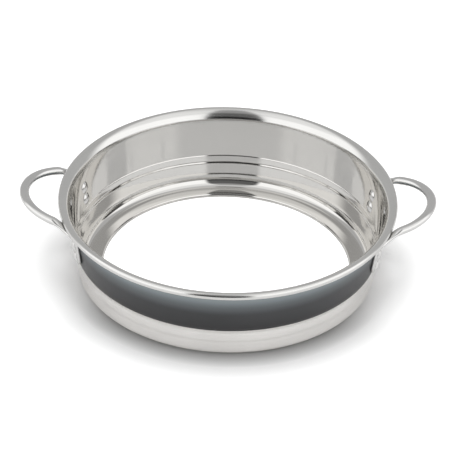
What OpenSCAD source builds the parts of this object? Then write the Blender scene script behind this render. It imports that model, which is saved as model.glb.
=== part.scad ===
// Round two-handled pot ring of pressed stainless sheet, open at the top and
// through the bottom: rolled and flared rim, tapered wall coated charcoal on
// the outside, plain lower wall, small foot turned in flat round a wide hole,
// and two rod handles held by eight rivets.
// Millimetres. Origin on the table under the axis, +Z up, handles on +X and -X.

/* [Bowl] */
// Outside diameter over the rolled rim
rim_d = 340; // [300:1:380]
// Height from the table to the top of the rim
height = 85; // [80:0.5:110]
// Thickness of the sheet
sheet = 1.2; // [0.8:0.1:1.6]
// Diameter of the rolled edge of the rim
bead_d = 7.4; // [5:0.1:9]
// Inside radius of the flare below the rolled edge
flare_r = 14.2; // [11:0.1:18]
// How far round the flare turns before the rolled edge
flare_deg = 60; // [50:1:70]
// Lean of the tapered wall from vertical
taper = 7.8; // [5:0.1:10]
// Height of the line inside where the wall steps in
ledge_z = 35.4; // [34:0.1:38]

/* [Foot] */
// Outside diameter just above the foot corner
foot_d = 301; // [298:1:302]
// Diameter of the hole through the bottom
hole_d = 250; // [200:1:280]
// Outside radius of the foot corner
corner_r = 5.5; // [3:0.5:8]
// Inside radius of the bend above the foot
bend_r = 18; // [12:0.5:20]
// Tighter inside radius where that bend meets the foot
heel_r = 7; // [5:0.5:9]
// Height of the foot's edge round the hole
edge_h = 3.4; // [2:0.1:4]
// Height of the soft crease round the lower wall
crease_z = 16; // [12:0.5:20]
// Height at which the lower wall steps out to the tapered wall
step_z = 30.2; // [28:0.1:32]

/* [Coating] */
// Thickness of the charcoal coating
coat = 0.3; // [0.1:0.05:0.5]

/* [Handles] */
// Rod diameter
rod_d = 8.4; // [7:0.1:10]
// Height of the rod's cross-section, a little pressed
rod_h = 8.2; // [6.5:0.1:10]
// How much wider the rod is on each side at the tip
grip = 0.7; // [0:0.1:1.5]
// Distance from the pot axis to the middle of the rod at the tip
reach = 203.6; // [195:0.1:215]
// Height of the middle of the rod at the tip
tip_z = 85.8; // [80:0.1:95]
// Upward slope of the loop
slope = 10.5; // [5:0.1:15]
// Radius of the loop at the tip
tip_r = 46; // [40:0.5:52]
// Radius of the loop towards the wall
side_r = 49.4; // [45:0.1:55]
// Angle from the handle's middle to each pad, about the pot axis
pad_deg = 19.2; // [15:0.1:25]
// Width of the rod where it is pressed flat to pass under the rim
neck_w = 9.6; // [8:0.1:12]
// Thickness of the rod there
neck_t = 4.6; // [4:0.1:6]
// Width of the flattened pads
pad_w = 17; // [14:0.5:20]
// Thickness of the flattened pads
pad_t = 4; // [3:0.1:5]

/* [Rivets] */
// Diameter of the rivet heads
head_d = 12.6; // [10:0.1:14]
// Height of the domed heads
head_h = 2.5; // [1.5:0.1:3.5]
// Diameter of the shanks and their holes
shank_d = 6; // [4:0.1:7]
// Height of the lower rivets
low_z = 43; // [41:0.1:46]
// Distance between the two rivets of a pad
pitch = 13.2; // [13:0.1:15]

/* [Hidden] */
$fn = 96;

steel = [0.78, 0.78, 0.77];
bright = [0.86, 0.86, 0.85];
charcoal = [0.25, 0.26, 0.28];

// Rim: the rolled edge, and the flare that it ends
bead_r = bead_d / 2;
bead_x = rim_d / 2 - bead_r;
bead_z = height - bead_r;
flare_x = bead_x + (flare_r - bead_r) * cos(flare_deg);
flare_z = bead_z - (flare_r - bead_r) * sin(flare_deg);
flare_ro = flare_r - sheet;

// Where the outside of the flare runs into the rolled edge
gap_c = flare_r - bead_r;
meet = acos((flare_ro * flare_ro + gap_c * gap_c - bead_r * bead_r) / (2 * flare_ro * gap_c));
meet_deg = flare_deg - meet;
meet_x = flare_x - flare_ro * cos(meet_deg);
meet_z = flare_z + flare_ro * sin(meet_deg);
meet_a = 180 - atan2(meet_z - bead_z, bead_x - meet_x);

// Tapered wall: the radius at height z, moved out by d square to the wall
wall_top_z = flare_z + flare_ro * sin(taper);
function wall(z, d) =
  flare_x - flare_ro * cos(taper) + (z - wall_top_z) * tan(taper) + d / cos(taper);
// The coating ends part of the way up the flare
coat_deg = taper + (meet_deg - taper) * 3 / 10;

// Lower wall
foot_r = foot_d / 2;
crease_r = foot_r + 0.5;
lower_r = crease_r + 0.3;
inner_r = foot_r - sheet;
shoulder_r = foot_r + 1;
throat_r = foot_r - 0.5;

// Inside bend: a wide arc down from the wall, then a tight one into the foot
bend_deg = 35;
heel_z = sheet + heel_r;
bend_x = inner_r - bend_r;
bend_z = heel_z + (bend_r - heel_r) * sin(bend_deg);
heel_x = bend_x + (bend_r - heel_r) * cos(bend_deg);
rise_deg = 8;

// Points along an arc, and along a soft step from one radius to another
function arc(x, z, r, a, b, n) =
  [for (i = [0:n]) [x + r * cos(a + (b - a) * i / n), z + r * sin(a + (b - a) * i / n)]];
function ease(p, q, n) =
  [for (i = [0:n]) [p[0] + (q[0] - p[0]) * (1 - cos(180 * i / n)) / 2, p[1] + (q[1] - p[1]) * i / n]];

outside = concat(
  [[hole_d / 2, 0]],
  arc(foot_r - corner_r, corner_r, corner_r, -90, 0, 10),
  ease([foot_r, crease_z - 0.8], [crease_r, crease_z + 0.8], 6),
  ease([lower_r, step_z - 4.4], [wall(step_z, 0), step_z], 10),
  arc(flare_x, flare_z, flare_ro, 180 - taper, 180 - meet_deg, 10)
);
roll = arc(bead_x, bead_z, bead_r, meet_a, 540 - flare_deg, 30);
inside = concat(
  arc(flare_x, flare_z, flare_r, 180 - flare_deg, 180 - taper, 10),
  [[wall(ledge_z, -sheet), ledge_z]],
  [[shoulder_r, ledge_z - 1.5]],
  ease([shoulder_r - 0.3, 28.8], [throat_r, 24.8], 8),
  arc(bend_x, bend_z, bend_r, -4, -bend_deg, 6),
  arc(heel_x, heel_z, heel_r, -bend_deg, -90 - rise_deg, 8),
  [[hole_d / 2 + edge_h * tan(16), edge_h]]
);

// Rivet places: side +1 right and -1 left, row +1 rear and -1 front
low = low_z;
high = low_z + pitch * cos(taper);
mid_z = (low + high) / 2;

// A frame on the outside of the tapered wall: X round the pot, Y up, Z outwards
module on_wall(side, row, z) {
  turn = side > 0 ? row * pad_deg : 180 - row * pad_deg;
  rotate([0, 0, turn])
    translate([wall(z, 0), 0, z])
      rotate([0, 90 + taper, 0])
        rotate([0, 0, 90])
          children();
}

// Holes for the shanks, through everything that the rivets hold
module shank_holes(sides) {
  for (side = sides)
    for (row = [-1, 1])
      for (z = [low, high])
        on_wall(side, row, z)
          translate([0, 0, -5])
            cylinder(d = shank_d, h = 15);
}

module pot_shell() {
  color(steel)
  difference() {
    rotate_extrude()
      polygon(concat(outside, roll, inside));
    shank_holes([-1, 1]);
  }
}

module charcoal_band() {
  color(charcoal)
  difference() {
    rotate_extrude()
      polygon(concat(
        [[wall(step_z, 0), step_z]],
        arc(flare_x, flare_z, flare_ro, 180 - taper, 180 - coat_deg, 3),
        arc(flare_x, flare_z, flare_ro - coat, 180 - coat_deg, 180 - taper, 3),
        [[wall(step_z, coat), step_z]]
      ));
    shank_holes([-1, 1]);
  }
}

// Sheet of thickness t standing off the tapered wall by d, from z0 to z1
module wall_sheet(d, t, z0, z1) {
  rotate_extrude()
    polygon([
      [wall(z0, d), z0],
      [wall(z0, d + t), z0],
      [wall(z1, d + t), z1],
      [wall(z1, d), z1]
    ]);
}

// Centre line of the loop in its own sloping plane: u outwards from the tip, v
// to the rear; a is the angle round the loop
tip_deg = 24;
side_deg = 68;
side_u = (tip_r - side_r) * cos(tip_deg) - tip_r;
side_v = (tip_r - side_r) * sin(tip_deg);
function loop_uv(a) = abs(a) <= tip_deg
  ? [tip_r * cos(a) - tip_r, tip_r * sin(a)]
  : [side_u + side_r * cos(a), sign(a) * side_v + side_r * sin(a)];
function lift(p) = [reach + p[0] * cos(slope), p[1], tip_z + p[0] * sin(slope)];
function unit(v) = v / norm(v);

// Each leg is a smooth curve from the end of the loop, under the rim, to the pad.
// The rod flattens twice on the way: to clear the rim, then into the pad.
join_z = 61;
pull_loop = 7;
pull_pad = 10;
pad_out = [cos(pad_deg), sin(pad_deg), 0];
pad_side = [-sin(pad_deg), cos(pad_deg), 0];
pad_up = pad_out * sin(taper) + [0, 0, cos(taper)];
loop_end = lift(loop_uv(side_deg));
loop_dir = [-sin(side_deg) * cos(slope), cos(side_deg), -sin(side_deg) * sin(slope)];
loop_side = [cos(side_deg) * cos(slope), sin(side_deg), cos(side_deg) * sin(slope)];
pad_join = pad_out * wall(join_z, coat + pad_t / 2) + [0, 0, join_z];
knee = [loop_end, loop_end + pull_loop * loop_dir, pad_join + pull_pad * pad_up, pad_join];
function leg_point(t) =
  pow(1 - t, 3) * knee[0] + 3 * t * pow(1 - t, 2) * knee[1]
  + 3 * t * t * (1 - t) * knee[2] + pow(t, 3) * knee[3];
function leg_dir(t) = unit(
  pow(1 - t, 2) * (knee[1] - knee[0]) + 2 * t * (1 - t) * (knee[2] - knee[1])
  + t * t * (knee[3] - knee[2]));
function soft(t) = t * t * (3 - 2 * t);

// Cross-section of the rod: round, a little wider at the tip, flat at the pads
sides = 20;
function section(c, s, u, w, h, p) = [
  for (i = [0:sides - 1])
    let (ca = cos(360 * i / sides), sa = sin(360 * i / sides))
      c + s * w * sign(ca) * pow(abs(ca), 2 / p) + u * h * sign(sa) * pow(abs(sa), 2 / p)
];
function loop_ring(a) = section(
  lift(loop_uv(a)),
  [cos(a) * cos(slope), sin(a), cos(a) * sin(slope)],
  [-sin(slope), 0, cos(slope)],
  rod_d / 2 + grip * pow(cos(a * 90 / side_deg), 2),
  rod_h / 2,
  2);
function leg_ring(t) =
  let (
    d = leg_dir(t),
    neck = soft(min(1, t / 0.4)),
    flat = soft(min(1, max(0, t - 0.24) / 0.66)),
    s0 = (1 - soft(t)) * loop_side + soft(t) * pad_side,
    s = unit(s0 - d * (s0 * d))
  )
    section(leg_point(t), s, cross(s, d),
      (rod_d + (neck_w - rod_d) * neck + (pad_w - 0.6 - neck_w) * flat) / 2,
      (rod_h + (neck_t - rod_h) * neck + (pad_t - 0.3 - neck_t) * flat) / 2,
      2 + 3 * flat);
function front(ring) = [for (p = ring) [p[0], -p[1], p[2]]];

leg_n = 12;
loop_n = 32;
rings = concat(
  [for (i = [leg_n:-1:1]) front(leg_ring(i / leg_n))],
  [for (i = [0:loop_n]) loop_ring(side_deg * (2 * i / loop_n - 1))],
  [for (i = [1:leg_n]) leg_ring(i / leg_n)]
);

// Rod swept along its rings, from one pad round the loop to the other
module rod() {
  last = len(rings) - 1;
  polyhedron(
    points = [for (r = rings) for (p = r) p],
    faces = concat(
      [[for (i = [sides - 1:-1:0]) i]],
      [[for (i = [0:sides - 1]) last * sides + i]],
      [
        for (j = [0:last - 1])
          for (i = [0:sides - 1])
            [j * sides + i, j * sides + (i + 1) % sides, (j + 1) * sides + i]
      ],
      [
        for (j = [0:last - 1])
          for (i = [0:sides - 1])
            [(j + 1) * sides + i, j * sides + (i + 1) % sides, (j + 1) * sides + (i + 1) % sides]
      ]
    )
  );
}

pad_top = 13;

// Flattened end of the rod, shaped to the wall; it ends round the lower rivet
module pad() {
  intersection() {
    wall_sheet(coat, pad_t, 20, 75);
    on_wall(1, 1, mid_z)
      translate([0, 0, -3])
        linear_extrude(height = 12)
          union() {
            translate([0, -pitch / 2])
              circle(d = pad_w);
            translate([-pad_w / 2, -pitch / 2])
              square([pad_w, pitch / 2 + pad_top]);
          }
  }
}

// The right handle
module handle() {
  difference() {
    union() {
      rod();
      pad();
      mirror([0, 1, 0])
        pad();
    }
    shank_holes([1]);
  }
}

module handle_right() {
  color(bright)
    handle();
}

module handle_left() {
  color(bright)
    mirror([1, 0, 0])
      handle();
}

// Domed head on Z = 0, with a short skirt below it to fit a curved face
module head() {
  cap_r = (head_d * head_d / 4 + head_h * head_h) / (2 * head_h);
  intersection() {
    translate([0, 0, head_h - cap_r])
      sphere(r = cap_r);
    translate([0, 0, -0.6])
      cylinder(d = head_d, h = head_h + 2);
  }
}

module rivet(side, row, z) {
  color(bright)
  union() {
    on_wall(side, row, z)
      translate([0, 0, -sheet - 0.5])
        cylinder(d = shank_d, h = sheet + coat + pad_t + 1);
    difference() {
      on_wall(side, row, z)
        translate([0, 0, coat + pad_t])
          head();
      wall_sheet(-10, 10 + coat + pad_t, 20, 75);
    }
    difference() {
      on_wall(side, row, z)
        translate([0, 0, -sheet])
          mirror([0, 0, 1])
            head();
      wall_sheet(-sheet, 10, 20, 75);
    }
  }
}

pot_shell();
charcoal_band();
handle_left();
handle_right();
rivet(-1, -1, high);  // rivet_left_front_upper
rivet(-1, -1, low);  // rivet_left_front_lower
rivet(-1, 1, high);  // rivet_left_rear_upper
rivet(-1, 1, low);  // rivet_left_rear_lower
rivet(1, -1, high);  // rivet_right_front_upper
rivet(1, -1, low);  // rivet_right_front_lower
rivet(1, 1, high);  // rivet_right_rear_upper
rivet(1, 1, low);  // rivet_right_rear_lower
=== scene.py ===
"""Visual model of the two-handled pot ring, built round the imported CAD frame.

Lengths in the tables below are millimetres, as in the CAD source; MM turns
them into the frame's metres. The axis of the ring is the row frame's Z axis.
"""

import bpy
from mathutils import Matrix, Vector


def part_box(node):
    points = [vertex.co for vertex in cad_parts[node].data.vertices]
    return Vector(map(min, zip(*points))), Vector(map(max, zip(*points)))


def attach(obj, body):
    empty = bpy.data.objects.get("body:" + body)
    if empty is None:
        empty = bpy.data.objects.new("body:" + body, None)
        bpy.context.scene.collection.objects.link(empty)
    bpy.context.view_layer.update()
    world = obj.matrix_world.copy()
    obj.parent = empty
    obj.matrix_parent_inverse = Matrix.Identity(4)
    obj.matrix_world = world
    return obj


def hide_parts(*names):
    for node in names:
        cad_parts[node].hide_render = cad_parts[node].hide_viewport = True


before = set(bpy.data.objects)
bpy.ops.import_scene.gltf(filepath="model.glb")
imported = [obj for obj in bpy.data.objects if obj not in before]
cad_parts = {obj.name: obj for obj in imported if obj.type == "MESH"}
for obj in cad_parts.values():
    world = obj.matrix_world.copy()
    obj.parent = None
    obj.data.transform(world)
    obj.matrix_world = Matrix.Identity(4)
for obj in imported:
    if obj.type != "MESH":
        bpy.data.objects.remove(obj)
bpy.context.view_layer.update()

from math import acos, asin, atan2, cos, degrees, pi, radians, sin, sqrt, tan

import bmesh
import bpy
from mathutils import Matrix, Vector

MM = 0.001
scene = bpy.context.scene
scene.view_settings.view_transform = "Standard"

# ---------------------------------------------------------------- dimensions
SHELL_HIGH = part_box("pot_shell")[1]
HEIGHT = SHELL_HIGH.z / MM
# the CAD circle is faceted, so its box is a few microns short of the radius
RIM_R = round(SHELL_HIGH.y / MM, 1)

SHEET = 1.2
BEAD_R = 3.7
FLARE_R = 14.2
FLARE_DEG = 60
TAPER = radians(7.8)
LEDGE_Z = 35.4
FOOT_R = 150.5
HOLE_R = 125.0
CORNER_R = 5.5
BEND_R = 18.0
BEND_DEG = 35
HEEL_R = 7.0
RISE_DEG = 8
EDGE_H = 3.4
EDGE_LEAN = radians(16)
CREASE_Z = 16.0
CREASE_HALF = 1.4
STEP_Z = 30.2
STEP_H = 4.4
SHOULDER_R = FOOT_R + 1.0
SHOULDER_Z = 28.8
THROAT_R = FOOT_R - 0.5
THROAT_Z = 24.8
COAT = 0.3

PAD_DEG = 19.2
PAD_W = 17.0
PAD_T = 4.0
LOW_Z = 43.0
PITCH = 13.2
HEAD_R = 6.3
HEAD_H = 2.5
SHANK_R = 3.0

BEAD_X = RIM_R - BEAD_R
BEAD_Z = HEIGHT - BEAD_R
FLARE_X = BEAD_X + (FLARE_R - BEAD_R) * cos(radians(FLARE_DEG))
FLARE_Z = BEAD_Z - (FLARE_R - BEAD_R) * sin(radians(FLARE_DEG))
FLARE_RO = FLARE_R - SHEET


def wall(z, d):
    """Radius of the tapered wall's outside at height z, moved out by d square to it."""
    return (FLARE_X - FLARE_RO * cos(TAPER)
            + (z - FLARE_Z - FLARE_RO * sin(TAPER)) * tan(TAPER) + d / cos(TAPER))


# ------------------------------------------------------------ mesh utilities
def arc(x, z, r, a, b, n):
    """Points on an arc, angles in degrees."""
    return [(x + r * cos(radians(a + (b - a) * i / n)),
             z + r * sin(radians(a + (b - a) * i / n))) for i in range(n + 1)]


def ease(p, q, n):
    """A soft S-shaped step from p to q, given as (radius, height)."""
    return [(p[0] + (q[0] - p[0]) * (1 - cos(pi * i / n)) / 2,
             p[1] + (q[1] - p[1]) * i / n) for i in range(n + 1)]


def line(p, q, n):
    """Points along a straight line, without its ends."""
    return [(p[0] + (q[0] - p[0]) * i / n, p[1] + (q[1] - p[1]) * i / n)
            for i in range(1, n)]


def mesh_object(name, bm, materials):
    """Turns a bmesh in millimetres into a smooth-shaded object in metres, linked to the scene."""
    bmesh.ops.recalc_face_normals(bm, faces=bm.faces)
    bmesh.ops.scale(bm, vec=(MM, MM, MM), verts=bm.verts)
    mesh = bpy.data.meshes.new(name)
    bm.to_mesh(mesh)
    bm.free()
    mesh.polygons.foreach_set("use_smooth", [True] * len(mesh.polygons))
    for m in materials:
        mesh.materials.append(m)
    obj = bpy.data.objects.new(name, mesh)
    scene.collection.objects.link(obj)
    return obj


def lathe(name, profile, zones, materials, steps=360):
    """Turns a closed (radius, height) outline round the axis. zones gives the
    material index of the strip that starts at each outline point."""
    bm = bmesh.new()
    n = len(profile)
    rings = []
    for j in range(steps):
        c, s = cos(2 * pi * j / steps), sin(2 * pi * j / steps)
        rings.append([bm.verts.new((r * c, r * s, z)) for r, z in profile])
    for j in range(steps):
        a, b = rings[j], rings[(j + 1) % steps]
        for i in range(n):
            k = (i + 1) % n
            f = bm.faces.new((a[i], b[i], b[k], a[k]))
            f.material_index = zones[i]
    return mesh_object(name, bm, materials)


def sweep(name, rings, materials):
    """Skins a chain of closed rings and closes both ends with a small fan."""
    bm = bmesh.new()
    rows = [[bm.verts.new(p) for p in ring] for ring in rings]
    n = len(rows[0])
    for a, b in zip(rows, rows[1:]):
        for i in range(n):
            bm.faces.new((a[i], a[(i + 1) % n], b[(i + 1) % n], b[i]))
    for row in (rows[0], rows[-1]):
        mid = bm.verts.new(sum((v.co for v in row), Vector()) / n)
        for i in range(n):
            bm.faces.new((row[i], row[(i + 1) % n], mid))
    return mesh_object(name, bm, materials)


# ----------------------------------------------------------------- materials
class Nodes:
    """Short hand for making node trees."""

    def __init__(self, tree):
        self.tree = tree
        tree.nodes.clear()

    def new(self, kind, inputs=None, **props):
        node = self.tree.nodes.new(kind)
        for k, v in props.items():
            setattr(node, k, v)
        for k, v in (inputs or {}).items():
            if isinstance(v, bpy.types.NodeSocket):
                self.tree.links.new(v, node.inputs[k])
            else:
                node.inputs[k].default_value = v
        return node

    def math(self, op, a, b=0.0, c=0.0):
        return self.new("ShaderNodeMath", {0: a, 1: b, 2: c}, operation=op).outputs[0]

    def ramp(self, value, lo, hi, out_lo=0.0, out_hi=1.0, soft=True):
        """value from lo to hi becomes out_lo to out_hi."""
        return self.new(
            "ShaderNodeMapRange",
            {"Value": value, "From Min": lo, "From Max": hi, "To Min": out_lo, "To Max": out_hi},
            interpolation_type="SMOOTHSTEP" if soft else "LINEAR").outputs["Result"]

    def mix(self, fac, a, b):
        node = self.new("ShaderNodeMix", {"Factor": fac}, data_type="RGBA")
        for key, v in (("A", a), ("B", b)):
            sock = [s for s in node.inputs if s.name == key and s.type == "RGBA"][0]
            if isinstance(v, bpy.types.NodeSocket):
                self.tree.links.new(v, sock)
            else:
                sock.default_value = (*v, 1.0)
        return [s for s in node.outputs if s.type == "RGBA"][0]

    def grey(self, value):
        """The same value as a colour."""
        return self.new("ShaderNodeCombineColor", {0: value, 1: value, 2: value}).outputs[0]

    def place(self):
        """The object's own coordinates, as a vector, its three parts and the radius."""
        vector = self.new("ShaderNodeTexCoord").outputs["Object"]
        x, y, z = self.new("ShaderNodeSeparateXYZ", {0: vector}).outputs
        squares = self.math("ADD", self.math("MULTIPLY", x, x), self.math("MULTIPLY", y, y))
        return vector, x, y, z, self.math("SQRT", squares)


def metal(name, tint, rough, spin, spin_depth, patch, smudge=0.02):
    """Stainless steel. spin is how many turning lines a metre of wall shows and
    spin_depth their depth in millimetres; patch is the size in metres of the slow
    changes in finish, and smudge how much roughness they add."""
    mat = bpy.data.materials.new(name)
    mat.use_nodes = True
    t = Nodes(mat.node_tree)
    coord, x, y, z, r = t.place()
    angle = t.math("ARCTAN2", y, x)
    lines = t.new("ShaderNodeCombineXYZ", {
        "X": t.math("MULTIPLY", r, spin), "Y": t.math("MULTIPLY", z, spin),
        "Z": t.math("MULTIPLY", t.math("SINE", angle), 1.6)})
    fine = t.new("ShaderNodeTexNoise", {"Vector": lines.outputs[0], "Scale": 1.0, "Detail": 4.0,
                                        "Roughness": 0.65}, noise_dimensions="3D").outputs["Fac"]
    slow = t.new("ShaderNodeTexNoise", {"Vector": coord, "Scale": 1.0 / patch, "Detail": 3.0,
                                        "Roughness": 0.5}).outputs["Fac"]
    wipe = t.new("ShaderNodeTexNoise", {"Vector": coord, "Scale": 45.0, "Detail": 6.0,
                                        "Roughness": 0.7, "Distortion": 0.6}).outputs["Fac"]
    rough_v = t.math("ADD", t.ramp(fine, 0.25, 0.75, rough * 0.82, rough * 1.2, False),
                     t.ramp(slow, 0.35, 0.7, 0.0, smudge))
    rough_v = t.math("ADD", rough_v, t.ramp(wipe, 0.55, 0.8, 0.0, smudge * 0.8))
    dull, bright, worn = (tuple(c * k for c in tint) for k in (0.97, 1.02, 0.93))
    base = t.mix(t.ramp(slow, 0.3, 0.7), dull, bright)
    base = t.mix(t.ramp(fine, 0.3, 0.75, 0.0, 0.35), base, worn)
    bump = t.new("ShaderNodeBump", {"Strength": 1.0, "Distance": spin_depth * MM, "Height": fine})
    shader = t.new("ShaderNodeBsdfPrincipled", {
        "Base Color": base, "Metallic": 1.0, "Roughness": rough_v, "Normal": bump.outputs[0]})
    t.new("ShaderNodeOutputMaterial", {"Surface": shader.outputs[0]})
    return mat


def coating(name):
    """Charcoal coating: satin, with a faint orange-peel surface; its colour holds a painted reflection
    that makes it paler under the rim, and painted shade that makes it darker towards the step at its
    foot.
    """
    mat = bpy.data.materials.new(name)
    mat.use_nodes = True
    t = Nodes(mat.node_tree)
    coord, _, _, z, _ = t.place()
    peel = t.new("ShaderNodeTexNoise", {"Vector": coord, "Scale": 900.0, "Detail": 2.0,
                                        "Roughness": 0.5}).outputs["Fac"]
    slow = t.new("ShaderNodeTexNoise", {"Vector": coord, "Scale": 9.0, "Detail": 3.0,
                                        "Roughness": 0.55}).outputs["Fac"]
    base = t.mix(t.ramp(slow, 0.3, 0.7), (0.036, 0.037, 0.040), (0.046, 0.047, 0.051))
    # painted shade: the colour darkens towards the step at the foot of the band
    base = t.mix(t.ramp(z, 0.030, 0.052, soft=False), (0.022, 0.022, 0.023), base)
    # painted reflection: the colour turns pale blue-grey towards the rim
    base = t.mix(t.ramp(z, 0.050, 0.062), base, (0.125, 0.140, 0.149))
    base = t.mix(t.ramp(z, 0.059, 0.072), base, (0.31, 0.355, 0.375))
    rough_v = t.math("ADD", t.ramp(peel, 0.3, 0.7, 0.30, 0.36, False),
                     t.ramp(slow, 0.4, 0.7, 0.0, 0.05))
    bump = t.new("ShaderNodeBump", {"Strength": 0.5, "Distance": 0.00006, "Height": peel})
    shader = t.new("ShaderNodeBsdfPrincipled", {
        "Base Color": base, "Metallic": 0.0, "Roughness": rough_v, "Normal": bump.outputs[0],
        "IOR": 1.42})
    t.new("ShaderNodeOutputMaterial", {"Surface": shader.outputs[0]})
    return mat


INSIDE = metal("polished_inside", (0.73, 0.72, 0.70), 0.055, 900.0, 0.0012, 0.09, 0.02)
RIM = metal("polished_rim", (0.73, 0.725, 0.71), 0.13, 1400.0, 0.002, 0.07, 0.02)
OUTSIDE = metal("polished_outside", (0.78, 0.765, 0.745), 0.2, 1400.0, 0.002, 0.07, 0.02)
ROD = metal("polished_rod", (0.73, 0.725, 0.715), 0.14, 500.0, 0.001, 0.05, 0.02)
COATING = coating("charcoal_coating")


# --------------------------------------------------------------------- shell
def shell():
    """The sheet: foot, lower wall, step, tapered wall, flare and rolled edge."""
    gap = FLARE_R - BEAD_R
    meet = degrees(acos((FLARE_RO ** 2 + gap ** 2 - BEAD_R ** 2) / (2 * FLARE_RO * gap)))
    meet_deg = FLARE_DEG - meet
    mx = FLARE_X - FLARE_RO * cos(radians(meet_deg))
    mz = FLARE_Z + FLARE_RO * sin(radians(meet_deg))
    meet_a = 180 - degrees(atan2(mz - BEAD_Z, BEAD_X - mx))
    t = degrees(TAPER)
    cx = FOOT_R - CORNER_R
    crease_r = FOOT_R + 0.5
    lower_r = FOOT_R + 0.8
    pts = []
    zones = []

    def add(points, zone):
        for p in points:
            if pts and abs(p[0] - pts[-1][0]) + abs(p[1] - pts[-1][1]) < 1e-6:
                continue
            pts.append(p)
            zones.append(zone)

    # outside, from the hole up (zone 2), then the rim (1) and the inside (0)
    add(arc(HOLE_R + 0.5, 0.5, 0.5, 180, 270, 5), 2)
    add(line((HOLE_R + 0.5, 0), (cx, 0), 8), 2)
    add(arc(cx, CORNER_R, CORNER_R, -90, 0, 24), 2)
    add(line((FOOT_R, CORNER_R), (FOOT_R, CREASE_Z - CREASE_HALF), 4), 2)
    add(ease((FOOT_R, CREASE_Z - CREASE_HALF), (crease_r, CREASE_Z + CREASE_HALF), 16), 2)
    step_top = (wall(STEP_Z, 0), STEP_Z + 0.4)
    add(ease((lower_r, STEP_Z - STEP_H), step_top, 24), 2)
    wall_top = (FLARE_X - FLARE_RO * cos(TAPER), FLARE_Z + FLARE_RO * sin(TAPER))
    add(line(step_top, wall_top, 16), 2)
    add(arc(FLARE_X, FLARE_Z, FLARE_RO, 180 - t, 180 - meet_deg, 24), 1)
    add(arc(BEAD_X, BEAD_Z, BEAD_R, meet_a, 540 - FLARE_DEG, 60), 1)
    add(arc(FLARE_X, FLARE_Z, FLARE_R, 180 - FLARE_DEG, 180 - t, 30), 1)
    add(line((FLARE_X - FLARE_R * cos(TAPER), FLARE_Z + FLARE_R * sin(TAPER)),
             (wall(LEDGE_Z, -SHEET), LEDGE_Z), 24), 0)
    add(ease((wall(LEDGE_Z, -SHEET), LEDGE_Z), (SHOULDER_R, LEDGE_Z - 1.5), 8), 0)
    add(ease((SHOULDER_R - 0.3, SHOULDER_Z), (THROAT_R, THROAT_Z), 20), 0)
    # the inside of the foot bends in two arcs, then rises gently to the hole's edge
    bend_x = FOOT_R - SHEET - BEND_R
    bend_z = SHEET + HEEL_R + (BEND_R - HEEL_R) * sin(radians(BEND_DEG))
    heel_x = bend_x + (BEND_R - HEEL_R) * cos(radians(BEND_DEG))
    add(arc(bend_x, bend_z, BEND_R, -4, -BEND_DEG, 30), 0)
    add(arc(heel_x, SHEET + HEEL_R, HEEL_R, -BEND_DEG, -90 - RISE_DEG, 30), 0)
    top_r = HOLE_R + EDGE_H * tan(EDGE_LEAN)
    add([(top_r + 0.5, EDGE_H - 0.06), (top_r + 0.15, EDGE_H - 0.04), (top_r, EDGE_H - 0.15)], 0)
    return lathe("shell_body", pts, zones, [INSIDE, RIM, OUTSIDE], 480)


def band():
    """The coating, a skin on the outside of the tapered wall."""
    t = degrees(TAPER)
    top = t + 12
    hair = 0.02  # keeps the skin off the steel under it
    pts = [(wall(STEP_Z + 0.1, hair), STEP_Z + 0.1)]
    wall_top = (FLARE_X - (FLARE_RO - hair) * cos(TAPER), FLARE_Z + FLARE_RO * sin(TAPER))
    pts += line(pts[0], wall_top, 12)
    pts += arc(FLARE_X, FLARE_Z, FLARE_RO - hair, 180 - t, 180 - top, 8)
    pts += arc(FLARE_X, FLARE_Z, FLARE_RO - COAT, 180 - top, 180 - t, 8)
    end = (wall(STEP_Z, COAT), STEP_Z)
    pts += line(pts[-1], end, 12)
    pts += [(wall(STEP_Z + 0.15, COAT), STEP_Z + 0.15), (wall(STEP_Z, COAT - 0.15), STEP_Z)]
    return lathe("coating_band", pts, [0] * len(pts), [COATING], 480)


# ------------------------------------------------------------------- handles
REACH = 203.6
TIP_Z = 85.8
SLOPE = radians(10.5)
TIP_R = 46.0
SIDE_R = 49.4
TIP_DEG = radians(24)
SIDE_DEG = radians(68)
ROD_D = 8.4
ROD_H = 8.2
NECK_W = 9.6
NECK_T = 4.6
GRIP = 0.7
JOIN_Z = 61.0
PULL_LOOP = 7
PULL_PAD = 10
# along a leg, from 0 at the loop to 1 at the pad
NECK_END = 0.4
FLAT_START = 0.24
FLAT_SPAN = 0.66
PAD_POWER = 6


def on_wall(z, azimuth):
    """A frame on the outside of the tapered wall: X round the pot, Y up, Z outwards."""
    a = azimuth
    out = Vector((cos(a) * cos(TAPER), sin(a) * cos(TAPER), -sin(TAPER)))
    up = Vector((cos(a) * sin(TAPER), sin(a) * sin(TAPER), cos(TAPER)))
    side = Vector((-sin(a), cos(a), 0))
    m = Matrix((side, up, out)).transposed().to_4x4()
    m.translation = Vector((wall(z, 0) * cos(a), wall(z, 0) * sin(a), z))
    return m


def soft(t):
    return t * t * (3 - 2 * t)


def section(c, s, u, w, h, p, n):
    """One ring of the rod about c: half-width w along s, half-height h along u.
    p is 2 for an ellipse and more for a squarer outline."""
    ring = []
    for i in range(n):
        a = 2 * pi * i / n
        ca, sa = cos(a), sin(a)
        ring.append(c + s * (w * (1 if ca >= 0 else -1) * abs(ca) ** (2 / p))
                    + u * (h * (1 if sa >= 0 else -1) * abs(sa) ** (2 / p)))
    return ring


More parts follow.
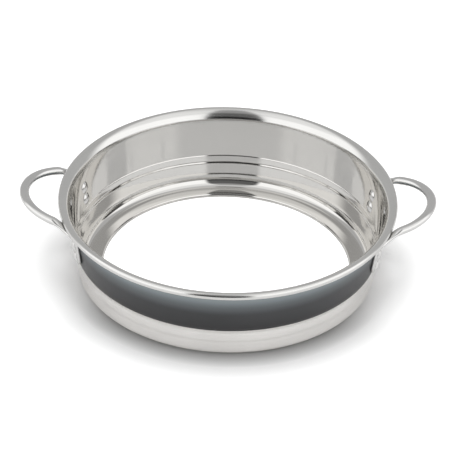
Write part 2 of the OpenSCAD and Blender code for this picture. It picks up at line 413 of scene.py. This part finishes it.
def handle_rings(n=40):
    """Rings of the right handle, from the front pad round the loop to the rear one."""
    side_u = (TIP_R - SIDE_R) * cos(TIP_DEG) - TIP_R
    side_v = (TIP_R - SIDE_R) * sin(TIP_DEG)
    az = radians(PAD_DEG)

    def lift(u, v):
        return Vector((REACH + u * cos(SLOPE), v, TIP_Z + u * sin(SLOPE)))

    def loop_point(a):
        if abs(a) <= TIP_DEG:
            return lift(TIP_R * cos(a) - TIP_R, TIP_R * sin(a))
        return lift(side_u + SIDE_R * cos(a), (1 if a > 0 else -1) * side_v + SIDE_R * sin(a))

    a = SIDE_DEG
    start = loop_point(a)
    go = Vector((-sin(a) * cos(SLOPE), cos(a), -sin(a) * sin(SLOPE)))
    start_side = Vector((cos(a) * cos(SLOPE), sin(a), cos(a) * sin(SLOPE)))
    out = Vector((cos(az), sin(az), 0))
    pad_side = Vector((-sin(az), cos(az), 0))
    up = out * sin(TAPER) + Vector((0, 0, cos(TAPER)))
    join = out * wall(JOIN_Z, COAT + PAD_T / 2) + Vector((0, 0, JOIN_Z))
    knee = [start, start + PULL_LOOP * go, join + PULL_PAD * up, join]

    loop = []
    turns = 96
    for i in range(turns + 1):
        a = SIDE_DEG * (2 * i / turns - 1)
        loop.append(section(
            loop_point(a), Vector((cos(a) * cos(SLOPE), sin(a), cos(a) * sin(SLOPE))),
            Vector((-sin(SLOPE), 0, cos(SLOPE))),
            ROD_D / 2 + GRIP * cos(a * (pi / 2) / SIDE_DEG) ** 2, ROD_H / 2, 2, n))
    leg = []
    for i in range(1, 41):
        t = i / 40
        c = ((1 - t) ** 3 * knee[0] + 3 * t * (1 - t) ** 2 * knee[1]
             + 3 * t * t * (1 - t) * knee[2] + t ** 3 * knee[3])
        d = ((1 - t) ** 2 * (knee[1] - knee[0]) + 2 * t * (1 - t) * (knee[2] - knee[1])
             + t * t * (knee[3] - knee[2])).normalized()
        neck = soft(min(1.0, t / NECK_END))
        flat = soft(min(1.0, max(0.0, t - FLAT_START) / FLAT_SPAN))
        s = start_side.lerp(pad_side, soft(t))
        s = (s - d * s.dot(d)).normalized()
        leg.append(section(
            c, s, s.cross(d),
            (ROD_D + (NECK_W - ROD_D) * neck + (PAD_W - NECK_W) * flat) / 2,
            (ROD_H + (NECK_T - ROD_H) * neck + (PAD_T - NECK_T) * flat) / 2,
            2 + (PAD_POWER - 2) * flat, n))
    # the flat pad, down the wall to its round end about the lower rivet
    length = (JOIN_Z - LOW_Z) / cos(TAPER)
    half = PAD_W / 2
    steps = [length * i / 24 for i in range(1, 25)]
    steps += [length + half * sin(pi / 2 * i / 22) for i in range(1, 22)]
    for s_len in steps:
        over = max(0.0, s_len - length)
        z = JOIN_Z - s_len * cos(TAPER)
        w = sqrt(max(0.02, half * half - over * over))
        lip = max(0.0, (over - (half - 1.2)) / 1.2)
        h = PAD_T / 2 * (1 - 0.75 * lip ** 3)
        c = out * wall(z, COAT + PAD_T / 2) + Vector((0, 0, z))
        leg.append(section(c, pad_side, pad_side.cross(-up), w, h, PAD_POWER, n))
    # let the pad follow the round of the wall
    shaped = []
    for ring in leg:
        new = []
        for p in ring:
            side = p.dot(pad_side)
            k = soft(min(1.0, max(0.0, (68 - p.z) / 8)))
            new.append(p - out * (k * side * side / (2 * wall(p.z, 2))))
        shaped.append(new)
    front = [[Vector((p.x, -p.y, p.z)) for p in ring] for ring in reversed(shaped)]
    return front + loop + shaped


def handle(name, sign):
    """The right handle for sign 1, and its mirror image for -1."""
    rings = handle_rings()
    if sign < 0:
        rings = [[Vector((-p.x, p.y, p.z)) for p in ring] for ring in rings]
    return sweep(name, rings, [ROD])


# -------------------------------------------------------------------- rivets
def rivet(name, azimuth, z):
    """A set rivet: a shank with a low dome on the pad and another inside the wall."""
    cap = (HEAD_R ** 2 + HEAD_H ** 2) / (2 * HEAD_H)
    edge = asin((HEAD_R - 0.25) / cap)
    out = COAT + PAD_T
    prof = [(0.0, out + HEAD_H)]
    prof += [(cap * sin(edge * i / 20), out + HEAD_H - cap + cap * cos(edge * i / 20))
             for i in range(1, 21)]
    prof += [(HEAD_R, out + 0.05), (HEAD_R - 0.05, out - 0.25), (SHANK_R, out - 0.3)]
    inner = -SHEET
    prof += [(SHANK_R, inner + 0.3), (HEAD_R - 0.05, inner + 0.25), (HEAD_R, inner - 0.05)]
    prof += [(cap * sin(edge * i / 20), inner - HEAD_H + cap - cap * cos(edge * i / 20))
             for i in range(20, 0, -1)]
    prof += [(0.0, inner - HEAD_H)]
    m = on_wall(z, azimuth)
    bm = bmesh.new()
    n = 64
    rows = []
    for r, h in prof:
        if r == 0:
            rows.append([bm.verts.new(m @ Vector((0, 0, h)))])
        else:
            turn = [2 * pi * i / n for i in range(n)]
            rows.append([bm.verts.new(m @ Vector((r * cos(a), r * sin(a), h))) for a in turn])
    for a, b in zip(rows, rows[1:]):
        for i in range(n):
            k = (i + 1) % n
            quad = [a[i % len(a)], a[k % len(a)], b[k % len(b)], b[i % len(b)]]
            face = []
            for v in quad:
                if v not in face:
                    face.append(v)
            bm.faces.new(face)
    return mesh_object(name, bm, [ROD])


# ------------------------------------------------------------------ assembly
def put(obj, node):
    """Hands a visual piece over in place of its CAD node."""
    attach(obj, "root")
    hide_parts(node)


put(shell(), "pot_shell")
put(band(), "charcoal_band")
put(handle("rod_handle_right", 1), "handle_right")
put(handle("rod_handle_left", -1), "handle_left")
for side in ("left", "right"):
    for row in ("front", "rear"):
        for height in ("lower", "upper"):
            a = radians(PAD_DEG) * (1 if row == "rear" else -1)
            if side == "left":
                a = pi - a
            z = LOW_Z + (PITCH * cos(TAPER) if height == "upper" else 0)
            tag = f"{side}_{row}_{height}"
            put(rivet("domed_rivet_" + tag, a, z), "rivet_" + tag)

# ---------------------------------------------------------------- the studio
# Radii and heights here are metres, as the shader sees them.
HOLE = HOLE_R * MM
FOOT = 0.15


def studio_floor():
    """A pale floor. Camera rays see it burnt out, with a drawn shade in front of the
    foot; reflections see it a little grey in the hole and brighter outside."""
    mat = bpy.data.materials.new("studio_floor")
    mat.use_nodes = True
    t = Nodes(mat.node_tree)
    _, _, y, _, r = t.place()
    seen = t.new("ShaderNodeLightPath").outputs["Is Camera Ray"]
    unseen = t.math("SUBTRACT", 1.0, seen)
    near = t.math("ADD", t.ramp(r, FOOT, 0.172, 0.58, 0.0, False), t.ramp(r, 0.165, 0.23, 0.35, 0.0))
    in_front = t.ramp(y, -0.02, -0.12, 0.3, 1.0)
    outside = t.ramp(r, HOLE, FOOT)
    shade = t.math("MULTIPLY", near, t.math("MULTIPLY", in_front, outside))
    direct = t.math("SUBTRACT", t.ramp(r, HOLE, FOOT, 1.5, 1.35), shade)
    mirrored = t.math("SUBTRACT", t.ramp(r, HOLE, FOOT, 0.55, 1.12), t.ramp(r, 0.155, 0.21, 0.0, 0.25))
    white = t.math("ADD", t.math("MULTIPLY", seen, direct), t.math("MULTIPLY", unseen, mirrored))
    matt = t.new("ShaderNodeBsdfDiffuse", {"Color": t.grey(white)})
    shine = t.math("MULTIPLY", unseen, t.ramp(r, HOLE, FOOT, 0.24, 0.05))
    glossy = t.new("ShaderNodeBsdfGlossy", {"Roughness": 0.12, "Color": t.grey(shine)})
    both = t.new("ShaderNodeAddShader", {0: matt.outputs[0], 1: glossy.outputs[0]})
    t.new("ShaderNodeOutputMaterial", {"Surface": both.outputs[0]})
    return mat


def studio_world():
    """Softboxes left and right of the camera with a dark gap between them."""
    world = bpy.data.worlds.new("studio")
    world.use_nodes = True
    t = Nodes(world.node_tree)
    deg = pi / 180
    xyz = t.new("ShaderNodeSeparateXYZ", {0: t.new("ShaderNodeTexCoord").outputs["Generated"]})
    x, y, z = xyz.outputs
    el = t.math("ARCSINE", z)
    # 0 towards the camera, growing to the right
    bearing = t.math("ARCTAN2", x, t.math("MULTIPLY", y, -1.0))
    off_axis = t.math("ABSOLUTE", bearing)
    off_gap = t.math("ABSOLUTE", t.math("ADD", bearing, 3.0 * deg))
    # behind and overhead: grey
    behind = t.ramp(el, 60 * deg, 85 * deg, 0.53, 0.68)
    # the softboxes, fading upwards
    side = t.ramp(off_axis, 115 * deg, 95 * deg)
    boxes = t.math("SUBTRACT", t.ramp(el, 34 * deg, 50 * deg, 1.32, 1.02),
                   t.ramp(el, 64 * deg, 90 * deg, 0.0, 0.34))
    lit = t.math("ADD", t.math("MULTIPLY", side, boxes),
                 t.math("MULTIPLY", t.math("SUBTRACT", 1.0, side), behind))
    # the gap between them: dark low down, grey above
    gap = t.math("MULTIPLY", t.ramp(off_gap, 22 * deg, 18 * deg), t.ramp(el, 84 * deg, 70 * deg))
    gap_light = t.math("ADD", t.ramp(el, 15 * deg, 25 * deg, 0.015, 0.14),
                       t.ramp(el, 42 * deg, 58 * deg, 0.0, 0.22))
    light = t.math("ADD", t.math("MULTIPLY", gap, gap_light),
                   t.math("MULTIPLY", t.math("SUBTRACT", 1.0, gap), lit))
    # the overhead lamp gives matt surfaces the rest of their light
    paths = t.new("ShaderNodeLightPath").outputs
    share = t.math("SUBTRACT", 1.0, t.math("MULTIPLY", paths["Is Diffuse Ray"], 0.45))
    seen = paths["Is Camera Ray"]
    unseen = t.math("SUBTRACT", 1.0, seen)
    strength = t.math("ADD", seen, t.math("MULTIPLY", unseen, t.math("MULTIPLY", light, share)))
    bg = t.new("ShaderNodeBackground", {"Color": (1, 1, 1, 1), "Strength": strength})
    t.new("ShaderNodeOutputWorld", {"Surface": bg.outputs[0]})
    return world


floor_bm = bmesh.new()
bmesh.ops.create_circle(floor_bm, cap_ends=True, radius=6000, segments=96)
floor = mesh_object("floor", floor_bm, [studio_floor()])
scene.world = studio_world()

# a wide soft lamp straight above, for the tight shadow round the foot
lamp_data = bpy.data.lights.new("overhead", "SUN")
lamp_data.angle = radians(40)
lamp_data.energy = 1.75
lamp = bpy.data.objects.new("overhead", lamp_data)
lamp.visible_glossy = False
scene.collection.objects.link(lamp)

# ---------------------------------------------------------------- the camera
ELEV = radians(34.55)
ROLL = radians(1.63)
# from the rim's centre: how far back, and how far off the middle of the picture
BACK = 3.00271
OFF_RIGHT = -0.002057
OFF_UP = 0.029886
LENS = 234.7826
SENSOR = 36.0

level_right = Vector((1, 0, 0))
level_up = Vector((0, sin(ELEV), cos(ELEV)))
ahead = Vector((0, cos(ELEV), -sin(ELEV)))
right = level_right * cos(ROLL) + level_up * sin(ROLL)
up = level_up * cos(ROLL) - level_right * sin(ROLL)
rim_centre = Vector((0, 0, 0.0803))
camera_data = bpy.data.cameras.new("camera")
camera_data.sensor_width = SENSOR
camera_data.lens = LENS
camera_data.clip_end = 50
camera = bpy.data.objects.new("camera", camera_data)
pose = Matrix((right, up, -ahead)).transposed().to_4x4()
pose.translation = rim_centre - (right * OFF_RIGHT + up * OFF_UP + ahead * BACK)
camera.matrix_world = pose
scene.collection.objects.link(camera)
scene.camera = camera
